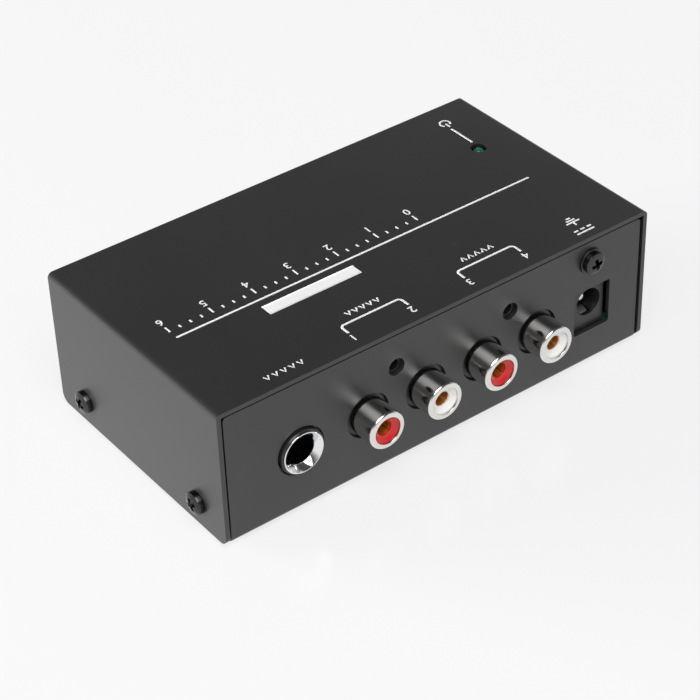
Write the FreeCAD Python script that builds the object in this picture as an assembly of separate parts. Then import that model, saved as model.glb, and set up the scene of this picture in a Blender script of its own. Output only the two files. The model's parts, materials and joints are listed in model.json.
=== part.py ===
import FreeCAD, Part
import math
import os

# Small steel-cased phono preamp. Millimetres, +Z up. The plain front faces -Y and the connector panel
# faces +Y. Pieces are drawn about the case's own middle, and save() moves them so that the origin lies
# on the surface the part stands on, under the middle of its whole box, sockets included.

os.makedirs("parts", exist_ok=True)
V = FreeCAD.Vector
UP, OUT, RIGHT = V(0, 0, 1), V(0, 1, 0), V(1, 0, 0)

# Case
case_width = 106.0  # over the cover's end walls
case_depth = 58.7  # along the cover's edges, front to rear
case_height = 31.5  # under the chassis floor to the cover's top
sheet = 1.0  # steel of cover and chassis
bend_radius = 1.2  # outside of each bend
flange_corner_radius = 2.0  # lower corners of the cover's end walls
panel_corner_radius = 1.0  # upper corners of the front and rear panels
panel_inset = 0.3  # panel's outer face behind the cover's edge
lid_gap = 0.5  # panel's top edge to the cover's underside
end_gap = 0.5  # chassis to the cover's end wall
foot_radius = 4.0
foot_height = 1.0
foot_inset_x = 10.0  # foot's centre from the case's end
foot_inset_y = 9.0  # foot's centre from the case's front or rear

# Fits
thread_clearance = 0.05  # radial, screw shank in its thread
free_clearance = 0.2  # radial, screw shank in a plain hole
seat_clearance = 0.02  # radial, a tube or pin seated in moulded plastic
face_clearance = 0.05  # moulded block to the sheet in front of it

# Screws
screw_radius = 1.5
head_radius = 2.45
head_height = 1.7
head_edge_height = 1.1  # straight side of the head under its dome
recess_width = 0.75
recess_span = 3.0
recess_depth = 1.1
side_screw_length = 4.0
side_screw_front_y = -19.7
side_screw_rear_y = 20.3
side_screw_height = 5.4  # above the chassis's underside
tab_width = 10.0  # chassis tab that a side screw threads into
tab_height = 11.0
tab_collar_radius = 2.4
tab_collar_length = 1.2

# Circuit board
board_end_gap = 5.7  # board's edge to the chassis's end
board_front_gap = 3.3  # board's edge to the front panel
board_rear_gap = 0.8  # board's edge to the rear panel
board_thickness = 1.6
board_corner_radius = 1.5
standoff_height = 4.6
standoff_radius = 2.6
standoff_spigot_radius = 1.9
standoff_side_inset = 4.0  # from the board's ends
standoff_front_inset = 4.0  # from the board's front edge
standoff_rear_inset = 29.0  # from its rear edge, clear of the sockets
board_screw_length = 5.0
board_screw_head_radius = 2.3
board_screw_head_height = 1.5

# Phono sockets, in two twin blocks
rca_pair_x = (11.5, -17.0)  # centres of the output and input pairs
rca_pitch = 14.2
rca_axis_height = 7.1  # above the board
rca_shell_radius = 4.15
rca_root_radius = 3.75  # shell's part inside the block
rca_rim_round = 0.6
rca_lip_radius = 3.0  # opening in the shell's face
rca_lip_length = 0.45
rca_shell_bore = 3.3
rca_projection = 6.25  # shell's front ahead of the panel
rca_shell_seat = 2.6  # shell's length inside the block
rca_collar_radius = 4.8
rca_collar_clearance = 0.2  # collar in the panel's hole
rca_collar_recess = 0.8  # collar's face behind the panel's
rca_block_depth = 10.0
rca_block_side = 6.6  # block's end beyond the outer socket's axis
rca_block_top = 6.2  # block's top above the sockets' axis
rca_tab_width = 8.0
rca_tab_height = 4.6
rca_tab_depth = 3.0
rca_fixing_radius = 1.9  # empty hole in the panel between two sockets
rca_pilot_radius = 1.2
rca_fixing_rise = 8.25  # above the sockets' axis
rca_funnel_depth = 0.7
rca_funnel_mouth = 2.75
rca_contact_bore = 1.62
rca_contact_wall = 0.45
rca_contact_setback = 0.4  # contact's mouth behind the funnel's throat
rca_contact_length = 8.5

# Quarter-inch output jack
jack_x = 34.6
jack_axis_height = 6.7  # above the board
jack_body_width = 15.0
jack_body_length = 24.0
jack_body_top = 6.9  # above the axis
jack_nose_radius = 5.0
jack_nose_projection = 0.5  # ahead of the panel
jack_hole_clearance = 0.4
jack_bore = 3.4
jack_back_wall = 2.0
bezel_bore = 3.2
bezel_wall = 0.8
bezel_length = 8.0
bezel_face_radius = 4.6
bezel_face_thickness = 0.5
bezel_mouth_radius = 4.35
bezel_chamfer_depth = 1.3

# Sprung contacts: a strip that turns at its root on a fixed terminal
leaf_thickness = 0.4
leaf_width = 2.0
leaf_side_gap = 0.4
terminal_thickness = 0.6
terminal_gap = 0.3  # terminal to the turning strip
slot_floor = 0.5  # power socket's floor under the strip's slot
tip_reach = 5.6  # root to the bump, along the bore
tip_intrusion = 1.0  # bump's height inside the bore
tip_root_rise = 5.4  # root above the bore's axis
tip_tail = 1.5  # strip beyond the bump
barrel_reach = 5.6
barrel_intrusion = 0.6
barrel_root_drop = 4.6  # root under the bore's axis
barrel_tail = 1.4

# Power socket
power_x = -39.0
power_axis_height = 7.0  # above the board
power_body_width = 8.2
power_body_top = 4.6  # above the axis
power_body_length = 13.0
power_bore = 3.15
power_bore_depth = 9.6
power_pin_radius = 1.05
power_pin_root_radius = 1.4  # in the socket's back wall
power_pin_round = 0.6  # rounding of the pin's tip
power_pin_setback = 2.0  # pin's tip behind the socket's face
power_face_gap = 0.2  # socket's face behind the panel's inner face
power_opening_side_gap = 0.6
power_opening_height = 10.5
power_opening_drop = 6.2  # opening's sill under the axis
power_opening_corner = 0.4

# Ground terminal
ground_x = -38.1
ground_drop = 5.1  # under the cover's top sheet
ground_screw_length = 7.5
washer_radius = 2.9
washer_thickness = 0.5
nut_across = 5.5  # across its flats
nut_thickness = 2.4

# Power lamp
lamp_from_end = 10.9
lamp_y = -10.8
lamp_radius = 1.5
lamp_length = 5.3
lamp_flange_radius = 1.9
lamp_flange_thickness = 1.0
lamp_hole_clearance = 0.2
lamp_sink = 0.15  # lens's crown under the cover's top face
lamp_lead_radius = 0.25
lamp_lead_pitch = 2.54
lamp_lead_tail = 1.2  # lead beyond the board's underside
lamp_spacer_radius = 2.4

# Parts on the board
chip_length = 9.6
chip_width = 6.4
chip_thickness = 3.3
chip_rise = 0.5
chip_mark_radius = 0.5
chip_leg_pitch = 2.54
chip_leg_count = 4  # on each side
chip_leg_width = 0.6
chip_leg_thickness = 0.3
chip_places = ((-12.0, 4.0), (12.0, 4.0))
can_places = ((-30.0, 6.0), (-22.0, 6.0), (0.0, 4.0), (22.0, -4.0), (-30.0, -4.0), (0.0, -8.0))
can_radius = 3.0
can_height = 11.0
can_top_round = 0.5
film_places = ((-16.0, -8.0), (-8.0, -8.0), (8.0, -8.0), (16.0, -8.0))
film_length = 7.2
film_width = 2.6
film_height = 6.6
film_corner_radius = 0.3
resistor_rows_y = (-16.0, -19.5)
resistor_pitch = 11.5
resistor_per_row = 6
resistor_radius = 1.1
resistor_length = 6.2
resistor_lead_radius = 0.3
resistor_lead_reach = 1.4
regulator_place = (24.0, -11.5)
regulator_radius = 2.4
regulator_flat = 1.4
regulator_height = 4.6

# Places that follow from the sizes above
base_z = foot_height
floor_z = base_z + sheet
case_top = base_z + case_height
lid_under = case_top - sheet
half_width, half_depth = case_width / 2, case_depth / 2
chassis_half = half_width - sheet - end_gap
panel_face = half_depth - panel_inset
panel_back = panel_face - sheet
panel_top = lid_under - lid_gap
board_under = floor_z + standoff_height
board_top = board_under + board_thickness
board_half = chassis_half - board_end_gap
board_rear = panel_back - board_rear_gap
board_front = board_front_gap - panel_back
rca_z = board_top + rca_axis_height
jack_z = board_top + jack_axis_height
power_z = board_top + power_axis_height
ground_z = lid_under - ground_drop
block_face = panel_back - face_clearance
rca_front = panel_face + rca_projection
rca_back = block_face - rca_block_depth
shell_back = block_face - rca_shell_seat
funnel_front = rca_front - rca_lip_length
throat_y = funnel_front - rca_funnel_depth
contact_front = throat_y - rca_contact_setback
contact_radius = rca_contact_bore + rca_contact_wall
contact_back = contact_front - rca_contact_length
insert_radius = rca_shell_bore - seat_clearance
jack_back = block_face - jack_body_length
bezel_radius = bezel_bore + bezel_wall
nose_face = panel_face + jack_nose_projection
bezel_front = nose_face + bezel_face_thickness
power_face = panel_back - power_face_gap
power_back = power_face - power_body_length
lamp_x = lamp_from_end - half_width
lamp_top = case_top - lamp_sink
lamp_base = lamp_top - lamp_length
frame_shift = (half_depth - rca_front) / 2  # the sockets stand out further than the cover's front edge


def save(shape, node):
    shape.translate(V(0, frame_shift, 0))
    shape.exportStep("parts/" + node + ".step")


def block(x0, x1, y0, y1, z0, z1):
    return Part.makeBox(x1 - x0, y1 - y0, z1 - z0, V(x0, y0, z0))


def rod(radius, start, direction, length):
    return Part.makeCylinder(radius, length, V(*start), direction)


def outline(points):
    """A closed face in the XY plane. A point with a third value is the middle of an arc."""
    edges = []
    count = len(points)
    place = [V(p[0], p[1], 0) for p in points]
    i = 0
    while i < count:
        if len(points[(i + 1) % count]) == 3:
            arc = Part.Arc(place[i], place[(i + 1) % count], place[(i + 2) % count])
            edges.append(arc.toShape())
            i += 2
        else:
            edges.append(Part.makeLine(place[i], place[(i + 1) % count]))
            i += 1
    return Part.Face(Part.Wire(edges))


def turned(points, x, z):
    """A body of revolution about a line along Y. Points are radius and y."""
    solid = outline(points).revolve(V(0, 0, 0), OUT, 360)
    solid.translate(V(x, 0, z))
    return solid


def stood(points, x, y):
    """A body of revolution about an upright line. Points are radius and z."""
    solid = outline(points).revolve(V(0, 0, 0), OUT, 360)
    solid.rotate(V(0, 0, 0), RIGHT, 90)
    solid.translate(V(x, y, 0))
    return solid


def rounded(solid, radius, axis, wanted):
    """Fillet the straight edges along an axis whose middle passes the test."""
    chosen = []
    for edge in solid.Edges:
        if isinstance(edge.Curve, Part.Line) and abs(edge.Curve.Direction.dot(axis)) > 0.999:
            if wanted(edge.CenterOfMass):
                chosen.append(edge)
    return solid.makeFillet(radius, chosen)


def mirrored_pair(value):
    return (-value, value)


def group(solids):
    return Part.makeCompound(solids)


def pan_screw(radius, length, cap_radius, cap_height, cap_edge):
    """A cross-recess screw along +Z: its thread below z = 0 and its head above."""
    sag = cap_height - cap_edge
    sphere = (cap_radius**2 + sag**2) / (2 * sag)
    half_way = cap_radius / 2
    half_way_z = cap_height - sphere + math.sqrt(sphere**2 - half_way**2)
    profile = [
        (0, -length),
        (radius, -length),
        (radius, 0),
        (cap_radius, 0),
        (cap_radius, cap_edge),
        (half_way, half_way_z, "arc"),
        (0, cap_height),
    ]
    screw = stood(profile, 0, 0)
    long, short = recess_span / 2, recess_width / 2
    bottom = cap_height - recess_depth
    for a, b in ((long, short), (short, long)):
        screw = screw.cut(block(-a, a, -b, b, bottom, 2 * cap_height))
    return screw


def placed(solid, direction, place):
    copy = solid.copy()
    copy.Placement = FreeCAD.Placement(V(*place), FreeCAD.Rotation(UP, direction))
    return copy


def side_screw_places():
    z = base_z + side_screw_height
    return [(side, y, z) for side in (-1, 1) for y in (side_screw_front_y, side_screw_rear_y)]


def standoff_places():
    xs = mirrored_pair(board_half - standoff_side_inset)
    ys = (board_front + standoff_front_inset, board_rear - standoff_rear_inset)
    return [(x, y) for x in xs for y in ys]


def rca_places():
    """Name and x of each socket: output then input, right then left."""
    places = []
    for pair, centre in zip(("out", "in"), rca_pair_x):
        places.append((pair + "_right", centre + rca_pitch / 2))
        places.append((pair + "_left", centre - rca_pitch / 2))
    return places


def lamp_lead_xs():
    return [lamp_x + x for x in mirrored_pair(lamp_lead_pitch / 2)]


def cover():
    """Top and two end walls, one bent sheet."""
    shell = block(-half_width, half_width, -half_depth, half_depth, base_z, case_top)
    shell = rounded(shell, bend_radius, OUT, lambda c: c.z > lid_under)
    inner = half_width - sheet
    hollow = block(-inner, inner, -case_depth, case_depth, base_z - sheet, lid_under)
    hollow = rounded(hollow, bend_radius - sheet, OUT, lambda c: c.z > lid_under - sheet)
    shell = shell.cut(hollow)
    shell = rounded(shell, flange_corner_radius, RIGHT, lambda c: c.z < base_z + sheet)
    for side, y, z in side_screw_places():
        start = (side * (half_width + sheet), y, z)
        shell = shell.cut(rod(screw_radius + free_clearance, start, RIGHT * -side, 3 * sheet))
    hole = rod(lamp_radius + lamp_hole_clearance, (lamp_x, lamp_y, lid_under - sheet), UP, 3 * sheet)
    return shell.cut(hole)


def chassis_channel():
    """Floor, front panel and rear panel, one bent sheet."""
    channel = block(-chassis_half, chassis_half, -panel_face, panel_face, base_z, panel_top)
    channel = rounded(channel, bend_radius, RIGHT, lambda c: c.z < floor_z)
    channel = rounded(channel, panel_corner_radius, OUT, lambda c: c.z > floor_z)
    hollow = block(-case_width, case_width, -panel_back, panel_back, floor_z, case_top)
    hollow = rounded(hollow, bend_radius - sheet, RIGHT, lambda c: c.z < floor_z + sheet)
    return channel.cut(hollow)


def chassis_tabs(channel):
    """The four upturned tabs that the side screws thread into."""
    for side, y, z in side_screw_places():
        outer = side * chassis_half
        inner = side * (chassis_half - sheet)
        low_x, high_x = sorted((outer, inner))
        tab = block(low_x, high_x, y - tab_width / 2, y + tab_width / 2, base_z, base_z + tab_height)
        tab = rounded(tab, bend_radius, RIGHT, lambda c: c.z > floor_z)
        collar = rod(tab_collar_radius, (inner, y, z), RIGHT * -side, tab_collar_length)
        channel = channel.fuse(tab).fuse(collar)
    for side, y, z in side_screw_places():
        start = (side * half_width, y, z)
        reach = half_width - chassis_half + sheet + 2 * tab_collar_length
        channel = channel.cut(rod(screw_radius + thread_clearance, start, RIGHT * -side, reach))
    return channel.removeSplitter()


def panel_hole(radius, x, z):
    return rod(radius, (x, panel_back - sheet, z), OUT, 3 * sheet)


def power_opening():
    half = power_body_width / 2 + power_opening_side_gap
    low = power_z - power_opening_drop
    high = low + power_opening_height
    hole = block(power_x - half, power_x + half, panel_back - sheet, panel_face + sheet, low, high)
    return rounded(hole, power_opening_corner, OUT, lambda c: True)


def chassis():
    body = chassis_tabs(chassis_channel())
    for _, x in rca_places():
        body = body.cut(panel_hole(rca_collar_radius + rca_collar_clearance, x, rca_z))
    for x in rca_pair_x:
        body = body.cut(panel_hole(rca_fixing_radius, x, rca_z + rca_fixing_rise))
    body = body.cut(panel_hole(jack_nose_radius + jack_hole_clearance, jack_x, jack_z))
    body = body.cut(panel_hole(screw_radius + thread_clearance, ground_x, ground_z))
    body = body.cut(power_opening())
    for x, y in standoff_places():
        start = (x, y, base_z - sheet)
        body = body.cut(rod(standoff_spigot_radius + seat_clearance, start, UP, 3 * sheet))
    return body


def rubber_feet():
    feet = []
    for x in mirrored_pair(half_width - foot_inset_x):
        for y in mirrored_pair(half_depth - foot_inset_y):
            feet.append(rod(foot_radius, (x, y, 0), UP, foot_height))
    return group(feet)


def side_screws():
    screw = pan_screw(screw_radius, side_screw_length, head_radius, head_height, head_edge_height)
    placings = [(side, (side * half_width, y, z)) for side, y, z in side_screw_places()]
    return group([placed(screw, RIGHT * side, place) for side, place in placings])


def standoffs():
    posts = []
    for x, y in standoff_places():
        post = rod(standoff_radius, (x, y, floor_z), UP, standoff_height)
        post = post.fuse(rod(standoff_spigot_radius, (x, y, base_z), UP, sheet))
        bore = rod(screw_radius + thread_clearance, (x, y, base_z), UP, sheet + standoff_height)
        posts.append(post.cut(bore).removeSplitter())
    return group(posts)


def circuit_board():
    board = block(-board_half, board_half, board_front, board_rear, board_under, board_top)
    board = rounded(board, board_corner_radius, UP, lambda c: True)
    for x, y in standoff_places():
        start = (x, y, board_under)
        board = board.cut(rod(screw_radius + free_clearance, start, UP, board_thickness))
    for x in lamp_lead_xs():
        start = (x, lamp_y, board_under)
        board = board.cut(rod(lamp_lead_radius + thread_clearance, start, UP, board_thickness))
    return board


def board_screws():
    edge = board_screw_head_height / 2
    screw = pan_screw(
        screw_radius, board_screw_length, board_screw_head_radius, board_screw_head_height, edge
    )
    return group([placed(screw, UP, (x, y, board_top)) for x, y in standoff_places()])


def rca_block(centre):
    """Moulded twin block: collars in the panel's holes, and a fixing tab between the sockets."""
    half = rca_pitch / 2 + rca_block_side
    top = rca_z + rca_block_top
    body = block(centre - half, centre + half, rca_back, block_face, board_top, top)
    tab_half = rca_tab_width / 2
    tab_back, tab_top = block_face - rca_tab_depth, top + rca_tab_height
    body = body.fuse(block(centre - tab_half, centre + tab_half, tab_back, block_face, top, tab_top))
    collar_length = panel_face - rca_collar_recess - block_face
    for x in (centre - rca_pitch / 2, centre + rca_pitch / 2):
        body = body.fuse(rod(rca_collar_radius, (x, block_face, rca_z), OUT, collar_length))
    for x in (centre - rca_pitch / 2, centre + rca_pitch / 2):
        bore = rod(rca_root_radius + seat_clearance, (x, shell_back, rca_z), OUT, rca_block_depth)
        back = rod(insert_radius + seat_clearance, (x, rca_back + sheet, rca_z), OUT, rca_block_depth)
        body = body.cut(bore).cut(back)
    start = (centre, rca_back, rca_z + rca_fixing_rise)
    pilot = rod(rca_pilot_radius, start, OUT, 2 * rca_block_depth)
    return body.cut(pilot).removeSplitter()


def rca_shell(x):
    """Plated outer contact with a rounded rim."""
    middle = rca_rim_round * (1 - math.sqrt(0.5))
    shoulder = panel_face - rca_collar_recess + face_clearance
    profile = [
        (rca_shell_bore, shell_back),
        (rca_root_radius, shell_back),
        (rca_root_radius, shoulder),
        (rca_shell_radius, shoulder),
        (rca_shell_radius, rca_front - rca_rim_round),
        (rca_shell_radius - middle, rca_front - middle, "arc"),
        (rca_shell_radius - rca_rim_round, rca_front),
        (rca_lip_radius, rca_front),
        (rca_lip_radius, funnel_front),
        (rca_shell_bore, funnel_front),
    ]
    return turned(profile, x, rca_z)


def rca_insert(x):
    """Coloured insulator: a funnel down to the centre contact, which it holds."""
    seat = contact_radius + seat_clearance
    throat = rca_contact_bore + seat_clearance
    back = contact_back - sheet
    profile = [
        (seat, back),
        (insert_radius, back),
        (insert_radius, funnel_front - seat_clearance),
        (rca_funnel_mouth, funnel_front - seat_clearance),
        (throat, throat_y),
        (throat, contact_front),
        (seat, contact_front),
    ]
    return turned(profile, x, rca_z)


def rca_contact(x):
    """Centre contact: a blind tube."""
    back = contact_back - sheet
    profile = [
        (0, back),
        (contact_radius, back),
        (contact_radius, contact_front),
        (rca_contact_bore, contact_front),
        (rca_contact_bore, contact_back),
        (0, contact_back),
    ]
    return turned(profile, x, rca_z)


def strip(path, x):
    """A bent strip of the leaf's thickness and width. The path is y and z points of its middle line."""
    half = leaf_thickness / 2
    solid = None
    for (y0, z0), (y1, z1) in zip(path, path[1:]):
        length = math.hypot(y1 - y0, z1 - z0)
        piece = block(-leaf_width / 2, leaf_width / 2, 0, length, -half, half)
        angle = math.degrees(math.atan2(z1 - z0, y1 - y0))
        piece.rotate(V(0, 0, 0), RIGHT, angle)
        piece.translate(V(x, y0, z0))
        joint = rod(half, (x - leaf_width / 2, y1, z1), RIGHT, leaf_width)
        piece = piece.fuse(joint)
        solid = piece if solid is None else solid.fuse(piece)
    start = rod(half, (x - leaf_width / 2, path[0][0], path[0][1]), RIGHT, leaf_width)
    return solid.fuse(start).removeSplitter()


def tip_root():
    y = jack_back + jack_back_wall + terminal_thickness + terminal_gap + leaf_thickness / 2
    return y, jack_z + tip_root_rise


def barrel_root():
    y = power_face - power_bore_depth + terminal_thickness + terminal_gap + leaf_thickness / 2
    return y, power_z - barrel_root_drop


def leaf_slot(x, root_y, reach, z0, z1):
    half = leaf_width / 2 + leaf_side_gap
    start = root_y - leaf_thickness / 2 - terminal_gap - terminal_thickness
    return block(x - half, x + half, start, root_y + reach + 2 * leaf_side_gap, z0, z1)


def jack_housing():
    half = jack_body_width / 2
    body = block(jack_x - half, jack_x + half, jack_back, block_face, board_top, jack_z + jack_body_top)
    nose = rod(jack_nose_radius, (jack_x, block_face, jack_z), OUT, nose_face - block_face)
    body = body.fuse(nose)
    seat = rod(
        bezel_radius + seat_clearance, (jack_x, bezel_front - bezel_length, jack_z), OUT, 2 * bezel_length
    )
    bore_start = jack_back + jack_back_wall
    bore = rod(jack_bore, (jack_x, bore_start, jack_z), OUT, jack_body_length)
    slot = leaf_slot(jack_x, tip_root()[0], tip_reach + tip_tail, jack_z, jack_z + jack_body_top)
    return body.cut(seat).cut(bore).cut(slot).removeSplitter()


def jack_bezel():
    """Plated sleeve: a wide chamfer in front and the plug's bearing bore behind."""
    profile = [
        (bezel_bore, bezel_front - bezel_length),
        (bezel_radius, bezel_front - bezel_length),
        (bezel_radius, nose_face),
        (bezel_face_radius, nose_face),
        (bezel_face_radius, bezel_front),
        (bezel_mouth_radius, bezel_front),
        (bezel_bore, bezel_front - bezel_chamfer_depth),
    ]
    return turned(profile, jack_x, jack_z)


def tip_spring():
    root_y, root_z = tip_root()
    bump_z = jack_z + jack_bore - tip_intrusion + leaf_thickness / 2
    tail_z = bump_z + tip_tail
    path = [(root_y, root_z), (root_y + tip_reach, bump_z), (root_y + tip_reach + tip_tail / 2, tail_z)]
    return strip(path, jack_x)


def tip_terminal():
    """Fixed strip behind the spring's root."""
    back = tip_root()[0] - leaf_thickness / 2 - terminal_gap
    half = leaf_width / 2 + leaf_side_gap
    low = jack_z + jack_bore - tip_intrusion
    return block(jack_x - half, jack_x + half, back - terminal_thickness, back, low, jack_z + jack_body_top)


def power_housing():
    half = power_body_width / 2
    body = block(power_x - half, power_x + half, power_back, power_face, board_top, power_z + power_body_top)
    bore = rod(power_bore, (power_x, power_face - power_bore_depth, power_z), OUT, power_body_length)
    root = power_pin_root_radius + seat_clearance
    pin_hole = rod(root, (power_x, power_back, power_z), OUT, power_body_length)
    slot = leaf_slot(power_x, barrel_root()[0], barrel_reach + barrel_tail, board_top + slot_floor, power_z)
    return body.cut(bore).cut(pin_hole).cut(slot).removeSplitter()


def power_pin():
    tip = power_face - power_pin_setback
    middle = power_pin_round * (1 - math.sqrt(0.5))
    root_end = power_face - power_bore_depth
    profile = [
        (0, power_back),
        (power_pin_root_radius, power_back),
        (power_pin_root_radius, root_end),
        (power_pin_radius, root_end),
        (power_pin_radius, tip - power_pin_round),
        (power_pin_radius - middle, tip - middle, "arc"),
        (power_pin_radius - power_pin_round, tip),
        (0, tip),
    ]
    return turned(profile, power_x, power_z)


def power_spring():
    root_y, root_z = barrel_root()
    bump_z = power_z - power_bore + barrel_intrusion - leaf_thickness / 2
    tail_z = bump_z - barrel_tail / 2
    path = [(root_y, root_z), (root_y + barrel_reach, bump_z), (root_y + barrel_reach + barrel_tail, tail_z)]
    return strip(path, power_x)


def power_terminal():
    back = barrel_root()[0] - leaf_thickness / 2 - terminal_gap
    half = leaf_width / 2 + leaf_side_gap
    low, high = board_top + slot_floor, power_z - power_bore + barrel_intrusion
    return block(power_x - half, power_x + half, back - terminal_thickness, back, low, high)


def ground_washer():
    ring = rod(washer_radius, (ground_x, panel_face, ground_z), OUT, washer_thickness)
    hole = rod(screw_radius + thread_clearance, (ground_x, panel_face, ground_z), OUT, washer_thickness)
    return ring.cut(hole)


def ground_screw_head():
    """The head turns and travels. Its shank is a piece of its own, which travels with the washer."""
    screw = pan_screw(screw_radius, ground_screw_length, head_radius, head_height, head_edge_height)
    reach = 2 * head_radius
    head = screw.common(block(-reach, reach, -reach, reach, 0, 2 * head_height))
    return placed(head, OUT, (ground_x, panel_face + washer_thickness, ground_z))


def ground_screw_shank():
    start = (ground_x, panel_face + washer_thickness - ground_screw_length, ground_z)
    return rod(screw_radius, start, OUT, ground_screw_length)


def ground_nut():
    corner = nut_across / math.sqrt(3)
    corners = []
    for i in range(7):
        angle = math.radians(60 * i)
        x = ground_x + corner * math.cos(angle)
        corners.append(V(x, panel_back - nut_thickness, ground_z + corner * math.sin(angle)))
    prism = Part.Face(Part.makePolygon(corners)).extrude(OUT * nut_thickness)
    start = (ground_x, panel_back - nut_thickness, ground_z)
    return prism.cut(rod(screw_radius + thread_clearance, start, OUT, nut_thickness))


def lamp_lens():
    dome = lamp_top - lamp_radius
    middle = lamp_radius * math.sqrt(0.5)
    profile = [
        (0, lamp_base),
        (lamp_flange_radius, lamp_base),
        (lamp_flange_radius, lamp_base + lamp_flange_thickness),
        (lamp_radius, lamp_base + lamp_flange_thickness),
        (lamp_radius, dome),
        (middle, dome + middle, "arc"),
        (0, lamp_top),
    ]
    return stood(profile, lamp_x, lamp_y)


def lamp_leads():
    low = board_under - lamp_lead_tail
    length = lamp_base - low
    return group([rod(lamp_lead_radius, (x, lamp_y, low), UP, length) for x in lamp_lead_xs()])


def lamp_spacer():
    tube = rod(lamp_spacer_radius, (lamp_x, lamp_y, board_top), UP, lamp_base - board_top)
    for x in lamp_lead_xs():
        hole = rod(lamp_lead_radius + thread_clearance, (x, lamp_y, board_top), UP, lamp_base - board_top)
        tube = tube.cut(hole)
    return tube


def chips():
    low = board_top + chip_rise
    high = low + chip_thickness
    half_l, half_w = chip_length / 2, chip_width / 2
    made = []
    for x, y in chip_places:
        body = block(x - half_l, x + half_l, y - half_w, y + half_w, low, high)
        mark = rod(chip_mark_radius, (x - half_l, y, high - chip_mark_radius), UP, chip_thickness)
        made.append(body.cut(mark))
    return group(made)


def chip_legs():
    legs = []
    high = board_top + chip_rise + chip_thickness / 2
    for x, y in chip_places:
        for i in range(chip_leg_count):
            middle = x + (i - (chip_leg_count - 1) / 2) * chip_leg_pitch
            left, right = middle - chip_leg_width / 2, middle + chip_leg_width / 2
            edge = chip_width / 2
            legs.append(block(left, right, y + edge, y + edge + chip_leg_thickness, board_top, high))
            legs.append(block(left, right, y - edge - chip_leg_thickness, y - edge, board_top, high))
    return group(legs)


def capacitor_cans():
    cans = []
    for x, y in can_places:
        can = rod(can_radius, (x, y, board_top), UP, can_height)
        circles = [e for e in can.Edges if isinstance(e.Curve, Part.Circle)]
        rim = [e for e in circles if e.CenterOfMass.z > board_top + can_radius]
        cans.append(can.makeFillet(can_top_round, rim))
    return group(cans)


def film_capacitors():
    half_l, half_w = film_length / 2, film_width / 2
    made = []
    for x, y in film_places:
        body = block(x - half_w, x + half_w, y - half_l, y + half_l, board_top, board_top + film_height)
        made.append(rounded(body, film_corner_radius, UP, lambda c: True))
    return group(made)


def resistor_places():
    places = []
    for y in resistor_rows_y:
        for i in range(resistor_per_row):
            places.append(((i - (resistor_per_row - 1) / 2) * resistor_pitch, y))
    return places


def resistors():
    z = board_top + resistor_radius
    half = resistor_length / 2
    starts = [(x - half, y, z) for x, y in resistor_places()]
    return group([rod(resistor_radius, start, RIGHT, resistor_length) for start in starts])


def resistor_leads():
    leads = []
    z = board_top + resistor_radius
    for x, y in resistor_places():
        for side in (-1, 1):
            inner = x + side * resistor_length / 2
            outer = inner + side * resistor_lead_reach
            lead = rod(resistor_lead_radius, (inner, y, z), RIGHT * side, resistor_lead_reach)
            drop = rod(resistor_lead_radius, (outer, y, board_top), UP, resistor_radius)
            elbow = Part.makeSphere(resistor_lead_radius, V(outer, y, z))
            leads.append(lead.fuse(drop).fuse(elbow))
    return group(leads)


def voltage_regulator():
    x, y = regulator_place
    body = rod(regulator_radius, (x, y, board_top), UP, regulator_height)
    flat = block(
        x - 2 * regulator_radius, x + 2 * regulator_radius, y - 2 * regulator_radius, y - regulator_flat,
        board_top, board_top + regulator_height
    )
    return body.cut(flat)


save(cover(), "cover")
save(chassis(), "chassis")
save(rubber_feet(), "rubber_feet")
save(side_screws(), "side_screws")
save(standoffs(), "board_standoffs")
save(circuit_board(), "circuit_board")
save(board_screws(), "board_screws")
for pair_name, pair_x in zip(("output", "input"), rca_pair_x):
    save(rca_block(pair_x), pair_name + "_socket_block")
for socket_name, socket_x in rca_places():
    save(rca_shell(socket_x), "socket_shell_" + socket_name)
    save(rca_insert(socket_x), "socket_insert_" + socket_name)
    save(rca_contact(socket_x), "socket_contact_" + socket_name)
save(jack_housing(), "jack_housing")
save(jack_bezel(), "jack_bezel")
save(tip_spring(), "jack_tip_spring")
save(tip_terminal(), "jack_tip_terminal")
save(power_housing(), "power_socket_housing")
save(power_pin(), "power_socket_pin")
save(power_spring(), "power_socket_spring")
save(power_terminal(), "power_socket_terminal")
save(ground_screw_head(), "ground_screw_head")
save(ground_screw_shank(), "ground_screw_shank")
save(ground_washer(), "ground_washer")
save(ground_nut(), "ground_nut")
save(lamp_lens(), "lamp_lens")
save(lamp_leads(), "lamp_leads")
save(lamp_spacer(), "lamp_spacer")
save(chips(), "amplifier_chips")
save(chip_legs(), "amplifier_chip_legs")
save(capacitor_cans(), "capacitor_cans")
save(film_capacitors(), "film_capacitors")
save(resistors(), "resistors")
save(resistor_leads(), "resistor_leads")
save(voltage_regulator(), "voltage_regulator")

for pivot_name, (pivot_y, pivot_z) in {"tip": tip_root(), "power": barrel_root()}.items():
    print(pivot_name, "spring's root: y", round(pivot_y + frame_shift, 3), "z", round(pivot_z, 3))
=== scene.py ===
import json
import math

import bmesh
import bpy
from mathutils import Matrix, Vector

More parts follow.
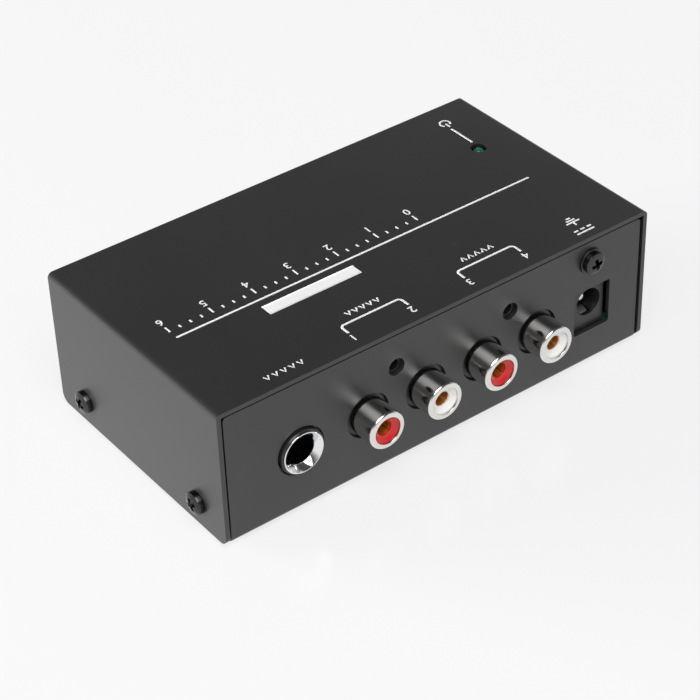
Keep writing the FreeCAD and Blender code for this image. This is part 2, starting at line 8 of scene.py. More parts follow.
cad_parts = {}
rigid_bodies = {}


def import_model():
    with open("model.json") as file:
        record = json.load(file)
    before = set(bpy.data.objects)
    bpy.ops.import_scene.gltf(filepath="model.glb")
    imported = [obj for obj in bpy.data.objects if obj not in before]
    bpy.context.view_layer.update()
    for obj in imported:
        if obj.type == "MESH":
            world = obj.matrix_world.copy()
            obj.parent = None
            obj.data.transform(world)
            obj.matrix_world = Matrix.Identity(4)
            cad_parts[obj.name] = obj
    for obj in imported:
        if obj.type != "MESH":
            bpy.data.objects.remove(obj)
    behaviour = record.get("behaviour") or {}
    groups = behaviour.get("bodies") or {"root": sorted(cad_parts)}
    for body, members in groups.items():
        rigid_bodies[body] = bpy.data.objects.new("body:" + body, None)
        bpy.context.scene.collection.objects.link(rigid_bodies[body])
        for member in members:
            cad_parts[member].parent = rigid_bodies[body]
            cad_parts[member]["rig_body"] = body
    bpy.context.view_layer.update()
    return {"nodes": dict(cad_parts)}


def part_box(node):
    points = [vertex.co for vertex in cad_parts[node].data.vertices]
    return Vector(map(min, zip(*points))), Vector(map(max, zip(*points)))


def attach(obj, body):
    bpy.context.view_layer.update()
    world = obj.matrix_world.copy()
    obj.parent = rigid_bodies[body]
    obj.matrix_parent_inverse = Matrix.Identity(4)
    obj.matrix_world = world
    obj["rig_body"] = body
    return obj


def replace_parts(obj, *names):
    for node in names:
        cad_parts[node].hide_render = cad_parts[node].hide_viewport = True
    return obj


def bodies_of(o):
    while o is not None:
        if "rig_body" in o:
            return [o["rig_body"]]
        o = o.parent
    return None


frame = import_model()

# Millimetres in the CAD frame, turned to metres where a mesh is finished.
MM = 0.001
OUT, UP = Vector((0, 1, 0)), Vector((0, 0, 1))
CASE = "case"
SCREW_HEAD = 2.45  # radius of the heads in the end walls and of the ground screw's head
SIDE_SCREW_LENGTH = 4.0
INK_LINE = 0.5  # stroke width of the print's long lines
FINE_LINE = 0.42  # stroke width of its arrows and symbols
INK_DEPTH = 0.012
NUMBER_HEIGHT = 2.0
SOCKETS = ("out_right", "out_left", "in_right", "in_left")


class Wire:
    """A shader socket that ordinary sums can be written with."""

    def __init__(self, tree, socket):
        self.tree, self.socket = tree, socket

    def maths(self, operation, first, second):
        step = self.tree.nodes.new("ShaderNodeMath")
        step.operation = operation
        plug(self.tree, step.inputs[0], first)
        plug(self.tree, step.inputs[1], second)
        return Wire(self.tree, step.outputs[0])

    def __add__(self, other):
        return self.maths("ADD", self, other)

    def __radd__(self, other):
        return self.maths("ADD", other, self)

    def __mul__(self, other):
        return self.maths("MULTIPLY", self, other)

    def __rmul__(self, other):
        return self.maths("MULTIPLY", other, self)

    def __mod__(self, other):
        return self.maths("FLOORED_MODULO", self, other)

    def __gt__(self, other):
        return self.maths("GREATER_THAN", self, other)


def plug(tree, socket, value):
    if isinstance(value, Wire):
        tree.links.new(value.socket, socket)
    else:
        socket.default_value = value


class Paint:
    """The node tree of one finish or of the studio's air."""

    def __init__(self, owner):
        owner.use_nodes = True
        self.owner, self.tree = owner, owner.node_tree
        self.tree.nodes.clear()

    def node(self, kind, settings=None, inputs=None, output=0):
        made = self.tree.nodes.new("ShaderNode" + kind)
        for key, value in (settings or {}).items():
            if key == "stops":
                for extra in value[2:]:
                    made.color_ramp.elements.new(extra[0])
                for stop, (place, colour) in zip(made.color_ramp.elements, value):
                    stop.position, stop.color = place, (*colour, 1)
            else:
                setattr(made, key, value)
        for key, value in (inputs or {}).items():
            plug(self.tree, made.inputs[key], value)
        return Wire(self.tree, made.outputs[output]) if len(made.outputs) else made

    def spot(self, stretch=(1, 1, 1)):
        """Place on the piece, in metres; a stretch draws a pattern out along an axis."""
        where = self.node("TexCoord", output="Object")
        return self.node("Mapping", {}, {"Vector": where, "Scale": stretch})

    def noise(self, scale, detail=3.0, rough=0.55, stretch=(1, 1, 1)):
        inputs = {"Vector": self.spot(stretch), "Scale": scale, "Detail": detail, "Roughness": rough}
        return self.node("TexNoise", {}, inputs)

    def specks(self, scale, low, high):
        """Sparse marks: the peaks of a noise, from 0 to 1."""
        inputs = {"Value": self.noise(scale, 5.0, 0.7), "From Min": low, "From Max": high}
        return self.node("MapRange", {"clamp": True}, inputs)

    def blend(self, share, first, second):
        first, second = (c if isinstance(c, Wire) else (*c, 1) for c in (first, second))
        return self.node("Mix", {"data_type": "RGBA"}, {0: share, 6: first, 7: second}, output=2)

    def surface(self, colour, roughness, relief=None, depth=0.0, **own):
        inputs = {"Base Color": colour, "Roughness": roughness}
        if relief is not None:
            inputs["Normal"] = self.node("Bump", {}, {"Height": relief, "Distance": depth})
        inputs.update({key.replace("_", " "): value for key, value in own.items()})
        shader = self.node("BsdfPrincipled", {}, inputs)
        self.node("OutputMaterial", {}, {"Surface": shader})
        return self.owner


def finish(name):
    return Paint(bpy.data.materials.new(name))


def powder_coat():
    """Satin black: a very fine orange peel, faint cloudiness and a few dull scuffs."""
    paint = finish("black_powder_coat")
    cloud, peel = paint.noise(35, 3.0), paint.noise(2600, 2.0, 0.5)
    scuff = paint.specks(140, 0.66, 0.8)
    colour = paint.blend(cloud, (0.016, 0.016, 0.0168), (0.022, 0.022, 0.023))
    colour = paint.blend(scuff * 0.35, colour, (0.06, 0.06, 0.06))
    gloss = 0.30 + cloud * 0.06 + peel * 0.05 + scuff * 0.12
    return paint.surface(colour, gloss, peel, 0.00001, IOR=1.55)


def plated(name, dark, light, gloss, dullness, brush=(1, 1, 1), relief=0.000002):
    """Metal or plating: clouded tone, fine turning marks and duller patches."""
    paint = finish(name)
    cloud, grain = paint.noise(90, 4.0), paint.noise(1500, 3.0, 0.6, brush)
    tarnish = paint.specks(230, 0.58, 0.8)
    colour = paint.blend(cloud, dark, light)
    colour = paint.blend(tarnish * 0.5, colour, dark)
    rough = gloss + dullness * (0.6 * grain + tarnish)
    return paint.surface(colour, rough, grain, relief, Metallic=1.0)


def moulded(name, dark, light, gloss, spread, grain=900, relief=0.00001, **own):
    """Moulded, dipped or rubber pieces: faint mottling, fine grain and dust-dulled spots."""
    paint = finish(name)
    cloud, fine = paint.noise(120, 3.0), paint.noise(grain, 4.0, 0.6)
    dust = paint.specks(420, 0.6, 0.78)
    colour = paint.blend(cloud, dark, light)
    colour = paint.blend(dust * 0.12, colour, (0.35, 0.34, 0.32))
    rough = gloss + spread * (0.7 * fine + dust)
    return paint.surface(colour, rough, fine, relief, **own)


def board_lacquer():
    """Green lacquer over a woven laminate, with tracks showing faintly through."""
    paint = finish("board_laminate")
    thread, track_pitch, track_gap = 0.0004, 0.0035, 0.0027
    along, across = (paint.node("SeparateXYZ", {}, {0: paint.spot()}, output=i) for i in (0, 1))
    weave = ((along % (2 * thread)) > thread) * ((across % (2 * thread)) > thread)
    tracks = ((across + 0.002 * paint.noise(60)) % track_pitch) > track_gap
    colour = paint.blend(paint.noise(80), (0.012, 0.085, 0.03), (0.018, 0.12, 0.042))
    colour = paint.blend(tracks * 0.5, colour, (0.03, 0.19, 0.06))
    return paint.surface(colour, 0.28 + 0.1 * paint.noise(700), weave, 0.00001)


def resistor_lacquer():
    """Ceramic bodies with three colour bands, repeated at the rows' spacing."""
    paint = finish("resistor_ceramic")
    pitch = 0.0115
    along = (paint.node("SeparateXYZ", {}, {0: paint.spot()}) + pitch / 2) % pitch
    body, brown, black, red = (0.17, 0.36, 0.42), (0.3, 0.1, 0.03), (0.02, 0.02, 0.02), (0.5, 0.05, 0.03)
    bands = [(0.0, body), (0.36, brown), (0.41, body), (0.47, black), (0.52, body), (0.58, red), (0.63, body)]
    tint = paint.node("ValToRGB", {"stops": bands}, {"Fac": along * (1 / pitch)})
    colour = paint.blend(paint.noise(500) * 0.2, tint, (0.1, 0.2, 0.24))
    return paint.surface(colour, 0.3 + 0.2 * paint.noise(900), paint.noise(1200), 0.00001)


def screen_ink():
    """Off-white print with thin, slightly uneven edges of tone."""
    paint = finish("white_print")
    grain = paint.noise(3000, 3.0)
    colour = paint.blend(grain, (0.74, 0.74, 0.73), (0.86, 0.86, 0.85))
    return paint.surface(colour, 0.45 + 0.15 * grain, grain, 0.000004)


# Darkest and lightest tone, gloss, spread of gloss, then the stretch of the turning marks.
PLATINGS = {
    "black_zinc_screw": ((0.035, 0.035, 0.037), (0.09, 0.09, 0.093), 0.2, 0.16),
    "black_zinc_washer": ((0.05, 0.05, 0.052), (0.09, 0.09, 0.094), 0.32, 0.2),
    "zinc_plate": ((0.42, 0.42, 0.41), (0.6, 0.6, 0.58), 0.3, 0.2),
    "standoff_brass": ((0.5, 0.36, 0.14), (0.68, 0.5, 0.22), 0.25, 0.2),
    "nickel_plate": ((0.66, 0.65, 0.62), (0.8, 0.79, 0.77), 0.10, 0.12, (1, 9, 1)),
    "gold_contact": ((0.90, 0.46, 0.08), (1.0, 0.62, 0.16), 0.34, 0.2, (1, 6, 1)),
    "bezel_chrome": ((0.68, 0.69, 0.7), (0.82, 0.83, 0.84), 0.07, 0.08, (1, 9, 1)),
    "tinned_contact": ((0.5, 0.5, 0.48), (0.7, 0.7, 0.67), 0.25, 0.25),
}
# Darkest and lightest tone, gloss, spread of gloss, then the grain's scale and depth.
MOULDINGS = {
    "red_plastic": ((0.50, 0.008, 0.012), (0.62, 0.014, 0.018), 0.16, 0.12),
    "white_plastic": ((0.82, 0.81, 0.79), (0.88, 0.875, 0.86), 0.18, 0.12),
    "black_socket_plastic": ((0.010, 0.010, 0.011), (0.018, 0.018, 0.019), 0.3, 0.15),
    "black_spacer_plastic": ((0.012, 0.012, 0.012), (0.02, 0.02, 0.02), 0.45, 0.2),
    "foot_rubber": ((0.014, 0.014, 0.014), (0.026, 0.026, 0.026), 0.65, 0.2, 1800, 0.00004),
    "black_epoxy": ((0.018, 0.018, 0.019), (0.032, 0.032, 0.033), 0.5, 0.2, 2200, 0.00002),
    "capacitor_sleeve": ((0.012, 0.02, 0.07), (0.02, 0.03, 0.1), 0.22, 0.15),
    "red_capacitor_coat": ((0.34, 0.04, 0.02), (0.46, 0.07, 0.03), 0.2, 0.15),
}
LENS = ("green_lens", (0.006, 0.12, 0.09), (0.012, 0.20, 0.15), 0.08, 0.06, 1200, 0.000002)


def make_finishes():
    finishes = {name: plated(name, *look) for name, look in PLATINGS.items()}
    finishes.update({name: moulded(name, *look) for name, look in MOULDINGS.items()})
    finishes["black_powder_coat"] = powder_coat()
    finishes["board_laminate"] = board_lacquer()
    finishes["resistor_ceramic"] = resistor_lacquer()
    finishes["green_lens"] = moulded(*LENS, Coat_Weight=0.6, Transmission_Weight=0.25)
    return finishes


FINISHES = make_finishes()
NODE_SLOTS = {
    "black_powder_coat": ("cover", "chassis"),
    "foot_rubber": ("rubber_feet",),
    "black_zinc_screw": ("side_screws", "ground_screw_head", "ground_screw_shank"),
    "black_zinc_washer": ("ground_washer",),
    "zinc_plate": ("board_screws", "ground_nut"),
    "standoff_brass": ("board_standoffs",),
    "board_laminate": ("circuit_board",),
    "black_socket_plastic": (
        "output_socket_block", "input_socket_block", "jack_housing", "power_socket_housing",
    ),
    "nickel_plate": tuple("socket_shell_" + s for s in SOCKETS) + ("power_socket_pin",),
    "red_plastic": ("socket_insert_out_right", "socket_insert_in_right"),
    "white_plastic": ("socket_insert_out_left", "socket_insert_in_left"),
    "gold_contact": tuple("socket_contact_" + s for s in SOCKETS),
    "bezel_chrome": ("jack_bezel",),
    "tinned_contact": (
        "jack_tip_spring", "jack_tip_terminal", "power_socket_spring", "power_socket_terminal",
        "lamp_leads", "amplifier_chip_legs", "resistor_leads",
    ),
    "green_lens": ("lamp_lens",),
    "black_spacer_plastic": ("lamp_spacer",),
    "black_epoxy": ("amplifier_chips", "voltage_regulator"),
    "capacitor_sleeve": ("capacitor_cans",),
    "red_capacitor_coat": ("film_capacitors",),
    "resistor_ceramic": ("resistors",),
}


def slot_of(node):
    return next(s for s, members in NODE_SLOTS.items() if node in members)


def body_of(node):
    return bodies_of(frame["nodes"][node])[0]


def paint_cad_nodes():
    for name, members in NODE_SLOTS.items():
        for node in members:
            for place in frame["nodes"][node].material_slots:
                place.material = FINISHES[name]


def piece(name, solid, slot, body, crease=38):
    """A finished mesh that rides on its body. The bmesh is in millimetres."""
    solid.transform(Matrix.Scale(MM, 4))
    mesh = bpy.data.meshes.new(name)
    solid.to_mesh(mesh)
    solid.free()
    mesh.shade_smooth()
    mesh.set_sharp_from_angle(angle=math.radians(crease))
    mesh.materials.append(FINISHES[slot])
    made = bpy.data.objects.new(name, mesh)
    bpy.context.scene.collection.objects.link(made)
    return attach(made, body)


def stand_in(node, solid, suffix, crease=38):
    """A finer piece shown in place of one CAD node."""
    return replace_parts(piece(node + suffix, solid, slot_of(node), body_of(node), crease), node)


def middle(node):
    """Centre of a CAD node's box, in millimetres."""
    low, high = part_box(node)
    return (low + high) / 2 / MM


def seat(node):
    """Middle of a CAD node's inner end, and its length along +Y, in millimetres."""
    low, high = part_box(node)
    place = middle(node)
    place.y = low.y / MM
    return place, (high.y - low.y) / MM


def set_at(solid, direction, place):
    """Turn a solid's +Z to a direction and carry its origin to a place."""
    turn = UP.rotation_difference(direction).to_matrix().to_4x4()
    solid.transform(Matrix.Translation(place) @ turn)
    return solid


def spun(outline, closed=True, steps=96):
    """Radius and height pairs turned about Z. An open outline runs from axis to axis."""
    solid = bmesh.new()
    dots = [solid.verts.new((r, 0, z)) for r, z in outline]
    pairs = zip(dots, dots[1:] + dots[:1]) if closed else zip(dots, dots[1:])
    lines = [solid.edges.new(pair) for pair in pairs]
    bmesh.ops.spin(
        solid, geom=dots + lines, cent=(0, 0, 0), axis=(0, 0, 1), angle=math.tau, steps=steps, use_merge=True
    )
    tidy(solid)
    return solid


def tidy(solid):
    bmesh.ops.remove_doubles(solid, verts=solid.verts, dist=0.0005)
    bmesh.ops.dissolve_degenerate(solid, edges=solid.edges, dist=0.0002)
    bmesh.ops.recalc_face_normals(solid, faces=solid.faces)


def eased(solid, width, segments=3, angle=35):
    """Round every edge sharper than the angle."""
    sharp = [e for e in solid.edges if len(e.link_faces) == 2 and e.calc_face_angle() > math.radians(angle)]
    bmesh.ops.bevel(
        solid, geom=sharp, offset=width, offset_type="OFFSET", affect="EDGES", segments=segments,
        profile=0.5, material=-1, clamp_overlap=True,
    )
    return solid


def arc(r, z, radius, start, end, count=6):
    """Outline points on an arc about (r, z), from one angle to another in degrees."""
    turns = [math.radians(start + (end - start) * i / count) for i in range(count + 1)]
    return [(r + radius * math.cos(a), z + radius * math.sin(a)) for a in turns]


def softened(node, width, crease=30):
    """The CAD node's own shape with its sharp edges rounded."""
    solid = bmesh.new()
    solid.from_mesh(frame["nodes"][node].data)
    solid.transform(Matrix.Scale(1 / MM, 4))
    bmesh.ops.remove_doubles(solid, verts=solid.verts, dist=0.001)
    bmesh.ops.dissolve_limit(
        solid, angle_limit=math.radians(0.6), verts=solid.verts, edges=solid.edges,
        use_dissolve_boundaries=False,
    )
    made = stand_in(node, solid, "_eased", crease)
    ease = made.modifiers.new("rounded_edges", "BEVEL")
    ease.width, ease.segments = width * MM, 2
    ease.limit_method, ease.angle_limit = "ANGLE", math.radians(crease)
    ease.harden_normals = True
    return made


def socket_shells():
    """Bright outer contacts: plain barrel, rounded front rim and a thin inward lip."""
    bore, root, barrel, shoulder, rim = 3.3, 3.75, 4.15, 2.9, 0.65
    lip, lip_round, lip_depth = 3.0, 0.12, 0.4
    for name in SOCKETS:
        node = "socket_shell_" + name
        place, length = seat(node)
        outline = [(bore, 0), (root, 0), (root, shoulder), (barrel, shoulder)]
        outline += arc(barrel - rim, length - rim, rim, 0, 90, 8)
        outline += arc(lip + lip_round, length - lip_round, lip_round, 90, 180, 4)
        outline += [(lip, length - lip_depth), (bore, length - lip_depth - 0.05)]
        stand_in(node, set_at(spun(outline), OUT, place), "_turned", 50)


def socket_inserts():
    """Coloured insulators: a smooth funnel with a small flat at the throat."""
    outer, mouth, hole, back_bore, funnel_depth, flat = 3.26, 2.84, 1.65, 2.1, 0.7, 0.4
    for name in SOCKETS:
        node = "socket_insert_" + name
        place, length = seat(node)
        throat = length - funnel_depth
        outline = [(back_bore, 0), (outer, 0), (outer, length - 0.06), (outer - 0.06, length)]
        outline += [(mouth, length), (2.74, length - 0.05), (2.45, throat + 0.34), (2.1, throat + 0.14)]
        outline += [(1.8, throat + 0.04)]
        outline += [(hole + 0.03, throat - 0.02), (hole, throat - 0.1), (hole, throat - flat)]
        outline += [(back_bore, throat - flat)]
        stand_in(node, set_at(spun(outline), OUT, place), "_moulded", 50)


def socket_contacts():
    """Sprung centre contacts: a tube whose front is slit into four fingers."""
    bore, outer, root, finger = 1.6, 2.07, 3, 82
    for name in SOCKETS:
        node = "socket_contact_" + name
        place, length = seat(node)
        cup = [(0, 0), (outer, 0), (outer, root), (bore, root), (bore, 1), (0, 1)]
        solid = spun(cup, closed=False, steps=48)
        outline = [(bore, root), (outer, root), (outer, length - 0.12), (1.95, length), (1.66, length)]
        outline += [(1.56, length - 0.5)]
        for quarter in range(4):
            turn = Matrix.Rotation(math.radians(90 * quarter + 49), 4, "Z")
            dots = [solid.verts.new(turn @ Vector((r, 0, z))) for r, z in outline]
            end = solid.faces.new(dots)
            bmesh.ops.spin(
                solid, geom=[end], cent=(0, 0, 0), axis=(0, 0, 1), angle=math.radians(finger), steps=12
            )
        bmesh.ops.recalc_face_normals(solid, faces=solid.faces)
        stand_in(node, set_at(solid, OUT, place), "_slit", 40)


def jack_ring():
    """Chromed sleeve of the large socket: thin rim, wide chamfer, straight bore."""
    bore, sleeve, flange, rim_round = 3.2, 4.0, 4.5, 0.12
    place, length = seat("jack_bezel")
    outline = [(bore, 0.15), (3.35, 0), (sleeve, 0), (sleeve, length - 0.5), (flange, length - 0.5)]
    outline += arc(4.48, length - rim_round, rim_round, -10, 90, 4)
    outline += [(4.38, length), (4.3, length - 0.06), (3.3, length - 1.2)]
    outline += [(3.22, length - 1.34), (bore, length - 1.5)]
    stand_in("jack_bezel", set_at(spun(outline, steps=128), OUT, place), "_turned", 24)


def power_pin():
    root, root_length, shaft, tip_round = 1.4, 3.4, 1.05, 0.6
    place, length = seat("power_socket_pin")
    outline = [(0, 0), (root, 0), (root, root_length), (shaft, root_length)]
    outline += arc(shaft - tip_round, length - tip_round, tip_round, 0, 90, 6) + [(0, length)]
    stand_in("power_socket_pin", set_at(spun(outline, False, 48), OUT, place), "_turned", 40)


def lamp():
    """Domed lens with its flange and a small moulded step."""
    dome, flange, flange_height = 1.5, 1.9, 1.0
    low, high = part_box("lamp_lens")
    length = (high.z - low.z) / MM
    outline = [(0, 0), (flange - 0.1, 0), (flange, 0.1), (flange, flange_height - 0.08)]
    outline += [(flange - 0.08, flange_height), (dome, flange_height)]
    outline += arc(0, length - dome, dome, 0, 90, 12)
    place = middle("lamp_lens")
    place.z = low.z / MM
    stand_in("lamp_lens", set_at(spun(outline, False, 64), UP, place), "_domed", 40)


def washer():
    hole, outer = 1.55, 2.9
    place, thickness = seat("ground_washer")
    solid = eased(spun([(hole, 0), (outer, 0), (outer, thickness), (hole, thickness)]), 0.08)
    stand_in("ground_washer", set_at(solid, OUT, place), "_turned")


def cross_cutter(span, width, top, depth):
    """Two crossing wedges, narrower at the bottom."""
    solid = bmesh.new()
    for turn in (0, math.pi / 2):
        arm = bmesh.ops.create_cube(solid, size=1)["verts"]
        for v in arm:
            low = v.co.z < 0
            v.co.x *= span * (0.55 if low else 1)
            v.co.y *= width * (0.7 if low else 1)
            v.co.z = top - depth if low else top + 0.5
        bmesh.ops.rotate(solid, verts=arm, cent=(0, 0, 0), matrix=Matrix.Rotation(turn, 3, "Z"))
    bmesh.ops.recalc_face_normals(solid, faces=solid.faces)
    return solid


def loose(name, solid):
    mesh = bpy.data.meshes.new(name)
    solid.to_mesh(mesh)
    solid.free()
    made = bpy.data.objects.new(name, mesh)
    bpy.context.scene.collection.objects.link(made)
    return made


def pan_head_screw(length):
    """A pan-head screw about +Z, underside of the head at z = 0, with a tapered cross recess."""
    shank, edge = 1.5, SCREW_HEAD - 0.08
    outline = [(0, -length), (shank - 0.2, -length), (shank, 0.3 - length), (shank, 0), (edge, 0)]
    outline += [(SCREW_HEAD, 0.08), (SCREW_HEAD, 0.95), (2.38, 1.13), (2.15, 1.28), (1.7, 1.46)]
    outline += [(1.15, 1.6), (0.6, 1.68), (0, 1.7)]
    head = loose("screw_blank", spun(outline, False, 64))
    tool = loose("cross_tool", cross_cutter(3.3, 0.95, 1.7, 1.2))
    cut = head.modifiers.new("recess", "BOOLEAN")
    cut.operation, cut.object, cut.solver, cut.use_self = "DIFFERENCE", tool, "EXACT", True
    shaped = head.evaluated_get(bpy.context.evaluated_depsgraph_get())
    solid = bmesh.new()
    solid.from_mesh(shaped.data)
    for used in (head, tool):
        bpy.data.objects.remove(used)
    bmesh.ops.remove_doubles(solid, verts=solid.verts, dist=0.0005)
    return solid


def side_screws():
    """The four screws in the end walls, each at its own turn."""
    low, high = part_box("side_screws")
    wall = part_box("cover")[1].x / MM
    pattern = pan_head_screw(SIDE_SCREW_LENGTH)
    store = bpy.data.meshes.new("screw_pattern")
    pattern.to_mesh(store)
    pattern.free()
    together = bmesh.new()
    ys = (low.y / MM + SCREW_HEAD, high.y / MM - SCREW_HEAD)
    turn = 20
    for side in (-1, 1):
        for y in ys:
            turn += 47
            start = len(together.verts)
            together.from_mesh(store)
            together.verts.ensure_lookup_table()
            fresh = together.verts[start:]
            way = UP.rotation_difference(Vector((side, 0, 0))).to_matrix().to_4x4()
            place = Matrix.Translation((side * wall, y, (low.z + high.z) / 2 / MM))
            spin = Matrix.Rotation(math.radians(turn), 4, "Z")
            bmesh.ops.transform(together, matrix=place @ way @ spin, verts=fresh)
    stand_in("side_screws", together, "_cross_head", 30)
    bpy.data.meshes.remove(store)


def ground_screw():
    """The ground terminal's screw, head and shank in one."""
    length = seat("ground_screw_shank")[1]
    place = seat("ground_screw_head")[0]
    solid = pan_head_screw(length)
    solid.transform(Matrix.Rotation(math.radians(12), 4, "Z"))
    whole = stand_in("ground_screw_head", set_at(solid, OUT, place), "_cross_recess", 30)
    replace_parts(whole, "ground_screw_shank")


def print_piece(name, mesh):
    """Lay a flat ink mesh, drawn in millimetres about the cover's middle, on its top."""
    low = min(v.co.z for v in mesh.vertices)
    high = max(v.co.z for v in mesh.vertices)
    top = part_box("cover")[1].z / MM
    squeeze = Matrix.Diagonal((1, 1, INK_DEPTH / (high - low), 1))
    lift = Matrix.Translation((0, middle("cover").y, top - low * INK_DEPTH / (high - low)))
    mesh.transform(Matrix.Scale(MM, 4) @ lift @ squeeze)
    mesh.materials.append(INK)
    made = bpy.data.objects.new(name, mesh)
    bpy.context.scene.collection.objects.link(made)
    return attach(made, CASE)


def as_mesh(curve):
    """The mesh of a text or a curve; the curve is then dropped."""
    holder = bpy.data.objects.new("drawn", curve)
    bpy.context.scene.collection.objects.link(holder)
    shaped = holder.evaluated_get(bpy.context.evaluated_depsgraph_get())
    mesh = bpy.data.meshes.new_from_object(shaped)
    bpy.data.objects.remove(holder)
    return mesh


def strokes(name, lines, width=INK_LINE):
    """Ruled lines of one width. Each is a list of points; a closed one ends where it starts."""
    curve = bpy.data.curves.new(name, "CURVE")
    curve.dimensions, curve.bevel_depth, curve.bevel_resolution = "3D", width / 2, 2
    curve.use_fill_caps = True
    for points in lines:
        closed = points[0] == points[-1]
        points = points[:-1] if closed else points
        line = curve.splines.new("POLY")
        line.points.add(len(points) - 1)
        for dot, (x, y) in zip(line.points, points):
            dot.co = (x, y, 0, 1)
        line.use_cyclic_u = closed
    return print_piece(name, as_mesh(curve))


def numeral(name, text, x, y, height):
    letters = bpy.data.curves.new(name, "FONT")
    letters.body, letters.size, letters.extrude = text, height * 1.38, 0.1
    letters.align_x, letters.offset = "CENTER", 0.03
    mesh = as_mesh(letters)
    mesh.transform(Matrix.Translation((x, y - height / 2, 0)))
    return print_piece(name, mesh)


def ring(x, y, radius, start=0, end=360, count=28):
    turns = [math.radians(start + (end - start) * i / count) for i in range(count + 1)]
    dots = [(round(x + radius * math.cos(a), 4), round(y + radius * math.sin(a), 4)) for a in turns]
    if end - start == 360:
        dots[-1] = dots[0]
    return dots


def bracket(x, y_ends, y_bar, half):
    """A bar with two legs towards the panel and rounded corners."""
    r = 0.9
    left = ring(x - half + r, y_bar + r, r, 180, 270, 6)
    right = ring(x + half - r, y_bar + r, r, 270, 360, 6)
    return [[(x - half, y_ends), *left, *right, (x + half, y_ends)]]


def chevrons(x, y, count, pitch, way):
    """A row of arrow heads that point out of the case or into it."""
    rows = []
    for i in range(count):
        at = x + (i - (count - 1) / 2) * pitch
        rows.append([(at - 0.55, y - way * 0.6), (at, y + way * 0.6), (at + 0.55, y - way * 0.6)])
    return rows


def lamp_and_terminal_symbols():
    """Power sign by the lamp, ground sign and direct current sign by their terminals."""
    lamp_x, ground_x, bar_y = -42.55, -38.4, 26.05
    strokes("print_lamp_lines", [[(lamp_x, -20.4), (lamp_x, -13.4)]])
    sign_x = lamp_x - 0.35
    power_sign = [ring(sign_x, -23.0, 1.15, 130, 410), [(sign_x, -22.8), (sign_x, -21.3)]]
    strokes("print_power_symbol", power_sign, FINE_LINE)
    stem = [[(ground_x, 24.3), (ground_x, 23.1)]]
    bars = [[(ground_x - w, y), (ground_x + w, y)] for w, y in ((1.7, 23.1), (1.1, 22.35), (0.5, 21.6))]
    strokes("print_ground_symbol", stem + bars, FINE_LINE)
    dashes = [[(x, bar_y), (x + 1.1, bar_y)] for x in (-40.6, -38.9, -37.2)]
    strokes("print_direct_current_symbol", [[(-40.6, 27.1), (-36.1, 27.1)]] + dashes, FINE_LINE)


def socket_marks():
    """A bracket, arrows and two numbers behind each pair of sockets, and arrows behind the jack."""
    for name, x, way in (("output", 11.9, 1), ("input", -16.5, -1)):
        strokes(f"print_{name}_bracket", bracket(x, 24.3, 21.65, 7.2))
        strokes(f"print_{name}_arrows", chevrons(x, 19.2, 5, 1.7, way), FINE_LINE)
    strokes("print_jack_arrows", chevrons(35.3, 25.9, 5, 1.9, 1), 0.36)
    for text, x in (("4", -23.4), ("3", -9.2), ("2", 5.1), ("1", 19.3)):
        numeral("print_number_" + text, text, x, 26.05, NUMBER_HEIGHT)


def plain_scale():
    """A long line with a row of ticks, numbered from 0 to 6, and a plain bar."""
    start, step, ticks_between = -15.0, 2.5, 4
    strokes("print_long_line", [[(-42.55, 4.75), (45.1, 4.75)]])
    ticks = []
    for i in range(6 * ticks_between + 1):
        x = start + i * step
        ticks.append([(x, 2.5), (x, 1.6 if i % ticks_between else 0.7)])
    strokes("print_scale_ticks", ticks, 0.4)
    for i in range(7):
        numeral(f"print_scale_{i}", str(i), start + i * step * ticks_between, -1.1, NUMBER_HEIGHT)
    strokes("print_plain_bar", [[(5.0, 8.5), (27.0, 8.5)]], 3.2)


def eased_case_and_fittings():
    for node, width in (
        ("cover", 0.16), ("chassis", 0.16), ("rubber_feet", 0.25), ("board_standoffs", 0.15),
        ("circuit_board", 0.12), ("output_socket_block", 0.16), ("input_socket_block", 0.16),
        ("jack_housing", 0.2), ("power_socket_housing", 0.2), ("ground_nut", 0.2),
        ("amplifier_chips", 0.2), ("film_capacitors", 0.3), ("resistors", 0.35),
        ("voltage_regulator", 0.2), ("lamp_spacer", 0.12), ("jack_tip_terminal", 0.08),
        ("power_socket_terminal", 0.08), ("jack_tip_spring", 0.06), ("power_socket_spring", 0.06),
        ("board_screws", 0.06),
    ):
        softened(node, width)


def studio_floor():
    """Pale glossy sheet under the part. Part of it shines white to camera and gloss; the shadow stays."""
    paint = finish("studio_floor")
    tone = paint.blend(paint.noise(6), (0.86, 0.86, 0.86), (0.90, 0.90, 0.90))
    inputs = {"Base Color": tone, "Roughness": 0.16 + 0.04 * paint.noise(9), "IOR": 1.45}
    sheet = paint.node("BsdfPrincipled", {}, inputs)
    glow = paint.node("Emission", {}, {"Color": (1, 1, 1, 1), "Strength": 1.0})
    seen, glossy = (paint.node("LightPath", output=ray) for ray in ("Is Camera Ray", "Is Glossy Ray"))
    lit = paint.node("MixShader", {}, {0: 0.8 * seen + 0.8 * glossy, 1: sheet, 2: glow})
    gloss = paint.node("BsdfGlossy", {}, {"Color": (1, 1, 1, 1), "Roughness": 0.2})
    whole = paint.node("MixShader", {}, {0: 0.06 * seen, 1: lit, 2: gloss})
    paint.node("OutputMaterial", {}, {"Surface": whole})
    solid = bmesh.new()
    bmesh.ops.create_grid(solid, x_segments=1, y_segments=1, size=3.0)
    floor = loose("studio_floor", solid)
    floor.data.materials.append(paint.owner)


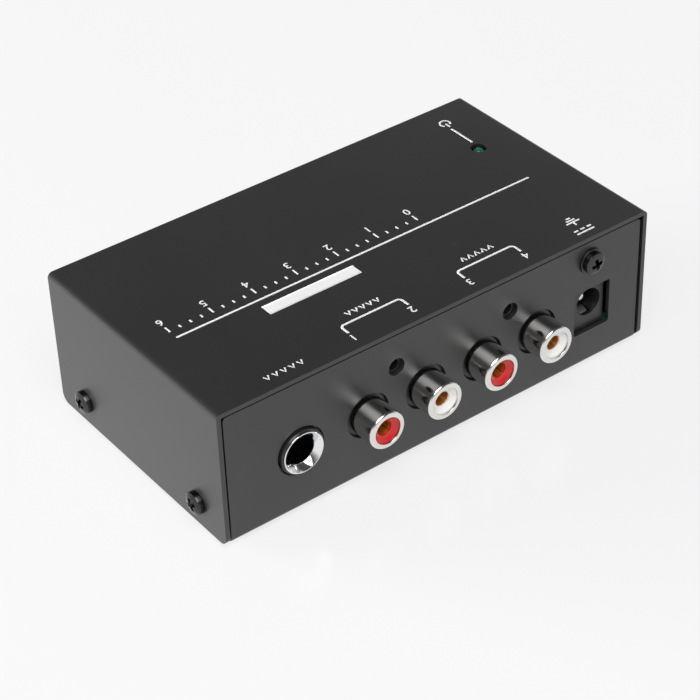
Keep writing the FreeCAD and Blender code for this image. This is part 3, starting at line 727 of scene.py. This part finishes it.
def studio_air():
    """White round the horizon and dark overhead, stronger for the camera and for gloss."""
    world = bpy.data.worlds.new("studio_air")
    bpy.context.scene.world = world
    paint = Paint(world)
    where = paint.node("TexCoord", output="Generated")
    height = paint.node("SeparateXYZ", {}, {0: where}, output=2)
    stops = [(0.06, (1, 1, 1)), (0.30, (0.5, 0.5, 0.5)), (0.56, (0.07, 0.07, 0.07))]
    sky = paint.node("ValToRGB", {"stops": stops}, {"Fac": height})
    camera, glossy = (paint.node("LightPath", output=ray) for ray in ("Is Camera Ray", "Is Glossy Ray"))
    strength = 0.62 + 0.38 * camera + 0.38 * glossy
    air = paint.node("Background", {}, {"Color": sky, "Strength": strength})
    paint.node("OutputWorld", {}, {"Surface": air})


def soft_light(name, place, size, watts, mirrored=True, target=(0, 0, 0.015)):
    panel = bpy.data.lights.new(name, "AREA")
    panel.shape, panel.size, panel.size_y, panel.energy = "RECTANGLE", size[0], size[1], watts
    made = bpy.data.objects.new(name, panel)
    made.visible_glossy = mirrored
    bpy.context.scene.collection.objects.link(made)
    way = Vector(target) - Vector(place)
    made.matrix_world = Matrix.Translation(place) @ way.to_track_quat("-Z", "Y").to_matrix().to_4x4()


def lights():
    soft_light("overhead_softbox", (0.30, 0.50, 0.95), (0.8, 0.8), 12.0)
    soft_light("end_wall_softbox", (0.95, -0.85, 0.16), (0.9, 0.32), 44.0, mirrored=False)
    soft_light("panel_softbox", (-0.7, 0.9, 0.45), (0.5, 0.5), 0.3)


def camera():
    """The photograph's own view: a long lens, from above and to the rear right."""
    azimuth, elevation, roll = (math.radians(a) for a in (144.013, 36.785, -2.103))
    flat = math.cos(elevation)
    ahead = Vector((-math.sin(azimuth) * flat, math.cos(azimuth) * flat, -math.sin(elevation)))
    right = ahead.cross(UP).normalized()
    above = right.cross(ahead)
    tilt = Matrix.Rotation(-roll, 3, ahead)
    columns = Matrix((tilt @ right, tilt @ above, -ahead)).transposed().to_4x4()
    lens = bpy.data.cameras.new("photo_camera")
    lens.lens, lens.sensor_width, lens.clip_end = 115.45, 36, 20
    made = bpy.data.objects.new("photo_camera", lens)
    bpy.context.scene.collection.objects.link(made)
    made.matrix_world = Matrix.Translation((0.21935, 0.297305, 0.28342)) @ columns
    bpy.context.scene.camera = made


paint_cad_nodes()
INK = screen_ink()
eased_case_and_fittings()
socket_shells()
socket_inserts()
socket_contacts()
jack_ring()
power_pin()
lamp()
washer()
side_screws()
ground_screw()
plain_scale()
lamp_and_terminal_symbols()
socket_marks()
studio_floor()
studio_air()
lights()
camera()
bpy.context.scene.view_settings.view_transform = "Standard"
